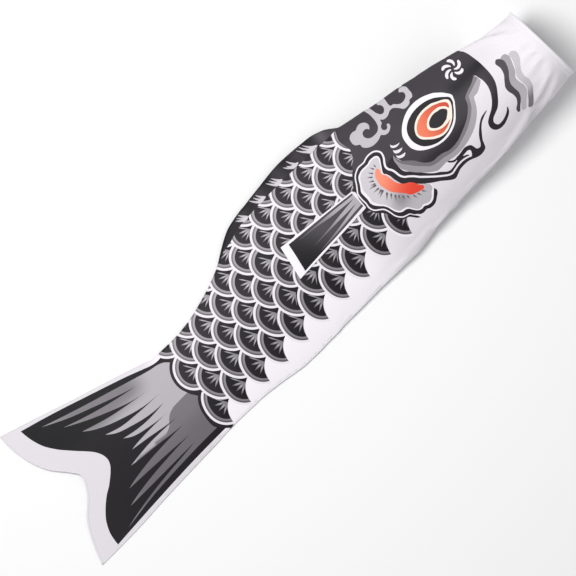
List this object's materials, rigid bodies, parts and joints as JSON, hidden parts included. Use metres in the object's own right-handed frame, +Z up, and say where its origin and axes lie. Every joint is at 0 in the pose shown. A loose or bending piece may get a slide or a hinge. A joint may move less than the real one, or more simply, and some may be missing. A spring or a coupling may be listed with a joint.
{
  "type": "carp streamer",
  "caption": "Fish-shaped fabric wind tube with a wire hoop in its round mouth, printed scales, two side fin flaps and a forked open tail",
  "frame": {"origin": "bottom centre of the streamer's box as it lies on its left side, at the height of the surface it lies on", "axes": "+X from the tail to the open mouth, +Y from the belly to the back, +Z up, out of the fish's right side"},
  "size_m": [1.0072, 0.2515, 0.1298],
  "materials": {
    "white_satin": "thin white polyester satin, unprinted",
    "printed_satin": "thin polyester satin printed in black, greys and orange-red",
    "spring_wire": "bare spring steel wire",
    "crimp_sleeve": "crimped tube",
    "white_thread": "spun polyester sewing thread"
  },
  "bodies": {
    "front": {"mouth_hem": "white_satin", "mouth_hoop": "spring_wire", "hoop_sleeve": "crimp_sleeve", "hem_stitching": "white_thread", "right_front_panel": "printed_satin", "left_front_panel": "printed_satin", "back_seam_front": "white_satin", "belly_seam_front": "white_satin", "right_fin_root": "printed_satin", "left_fin_root": "printed_satin"},
    "rear": {"right_rear_panel": "printed_satin", "left_rear_panel": "printed_satin", "back_seam_rear": "white_satin", "belly_seam_rear": "white_satin"},
    "tail": {"right_tail_panel": "printed_satin", "left_tail_panel": "printed_satin", "right_tail_hem": "white_satin", "left_tail_hem": "white_satin", "back_seam_tail": "white_satin", "belly_seam_tail": "white_satin"},
    "right_fin_flap": {"right_fin": "printed_satin", "right_fin_band": "white_satin"},
    "left_fin_flap": {"left_fin": "printed_satin", "left_fin_band": "white_satin"}
  },
  "joints": [
    {"name": "body_sway", "type": "hinge", "parent": "front", "child": "rear", "pos_m": [-0.045, -0.009, 0.0125], "axis": [0, 1, 0], "range_deg": [-35, 35]},
    {"name": "tail_sway", "type": "hinge", "parent": "rear", "child": "tail", "pos_m": [-0.235, -0.0345, 0.0065], "axis": [0, 1, 0], "range_deg": [-45, 45]},
    {"name": "right_fin_flap", "type": "hinge", "parent": "front", "child": "right_fin_flap", "pos_m": [0.14405, 0.0031, 0.04534], "axis": [0.0759, 0.9971, 0.0078], "range_deg": [0, 120]},
    {"name": "left_fin_flap", "type": "hinge", "parent": "front", "child": "left_fin_flap", "pos_m": [0.14405, 0.0031, 0.0004], "axis": [-0.0759, -0.9971, 0], "range_deg": [0, 120]}
  ]
}
